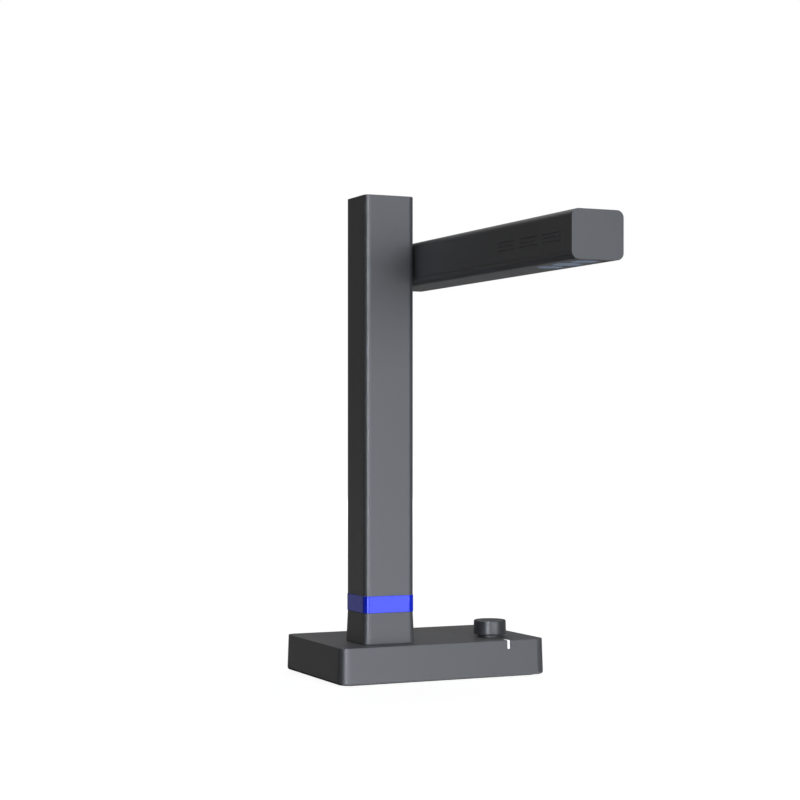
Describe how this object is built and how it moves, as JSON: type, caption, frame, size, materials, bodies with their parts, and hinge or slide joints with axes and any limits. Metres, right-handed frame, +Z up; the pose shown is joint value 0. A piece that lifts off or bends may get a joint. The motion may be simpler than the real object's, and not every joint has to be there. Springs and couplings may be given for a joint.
{
  "type": "overhead book scanner",
  "caption": "Desk book scanner: weighted base with a knob, a rectangular post with a blue light band, and an arm with lamps and camera that folds down beside the post.",
  "frame": {"origin": "on the desk plane, under the centre of the base", "axes": "+Z up the post; the base's front and the arm's reach are towards -Y; +X is to the right, the side of the post that carries the arm"},
  "size_m": [0.1906, 0.3708, 0.4049],
  "materials": {
    "housing_plastic": "satin dark grey",
    "post_paint": "satin dark grey paint",
    "knob_plastic": "satin dark grey",
    "ring_plastic": "gloss blue",
    "index_plastic": "gloss white",
    "lamp_window": "frosted blue grey",
    "camera_glass": "tinted clear",
    "lens_glass": "coated",
    "plate_plastic": "matt black",
    "foot_rubber": "matt black",
    "cast_weight": "as cast",
    "plain_steel": "zinc plated",
    "black_steel": "black oxide",
    "plain_aluminium": "mill finish",
    "bush_bronze": "turned",
    "board_green": "solder mask",
    "lens_black": "matt black",
    "reflector_white": "white",
    "slip_plastic": "natural",
    "cable_black": "matt black"
  },
  "bodies": {
    "base": {"rubber_foot_ring": "foot_rubber", "base_bottom_plate": "plate_plastic", "bottom_plate_screws": "black_steel", "base_weight": "cast_weight", "base_housing": "housing_plastic", "main_board": "board_green", "main_board_screws": "plain_steel", "data_socket": "plain_steel", "power_socket": "lens_black", "encoder_board": "board_green", "rotary_encoder": "plain_steel", "encoder_nut": "plain_steel", "knob_collar": "knob_plastic", "index_light_strip": "index_plastic", "post_core": "plain_aluminium", "core_bolts": "plain_steel", "post_foot": "housing_plastic", "light_ring": "ring_plastic", "ring_lamp_strip": "reflector_white", "post_shell": "post_paint", "post_top_cap": "housing_plastic", "hinge_block": "plain_steel", "hinge_block_screws": "plain_steel", "hinge_bush": "bush_bronze", "hinge_slip_ring": "slip_plastic", "fixed_friction_washers": "plain_steel", "hinge_stop_pins": "plain_steel", "post_cable": "cable_black"},
    "arm": {"hinge_shaft": "plain_steel", "turning_friction_washers": "plain_steel", "hinge_stop_washer": "plain_steel", "hinge_spring_washers": "plain_steel", "hinge_nut": "plain_steel", "arm_hinge_plate": "plain_steel", "arm_hinge_screws": "plain_steel", "arm_housing": "housing_plastic", "arm_bottom_cover": "housing_plastic", "arm_cover_screws": "black_steel", "arm_front_cap": "housing_plastic", "arm_rear_cap": "housing_plastic", "arm_board": "board_green", "arm_board_screws": "plain_steel", "heat_sink": "plain_aluminium", "camera_board": "board_green", "image_sensor": "lens_black", "lens_mount": "lens_black", "lens_barrel": "lens_black", "lens_glass": "lens_glass", "camera_window": "camera_glass", "front_lamp_window": "lamp_window", "rear_lamp_window": "lamp_window", "front_lamp_board": "board_green", "rear_lamp_board": "board_green", "front_lamp_reflector": "reflector_white", "rear_lamp_reflector": "reflector_white", "arm_cable": "cable_black"},
    "knob_push": {"push_plunger": "plain_steel"},
    "knob": {"encoder_shaft": "plain_steel", "control_knob": "knob_plastic"}
  },
  "joints": [
    {"name": "arm_fold", "type": "hinge", "parent": "base", "child": "arm", "pos_m": [-0.021, -0.02525, 0.3493], "axis": [1, 0, 0], "range_deg": [0, 90]},
    {"name": "knob_press", "type": "slide", "parent": "base", "child": "knob_push", "axis": [0, 0, -1], "range_m": [0, 0.0006], "stiffness_N_per_m": 600, "springref_m": -0.002},
    {"name": "knob_turn", "type": "hinge", "parent": "knob_push", "child": "knob", "pos_m": [0.0589, -0.0283, 0.0314], "axis": [0, 0, -1], "continuous": true}
  ]
}
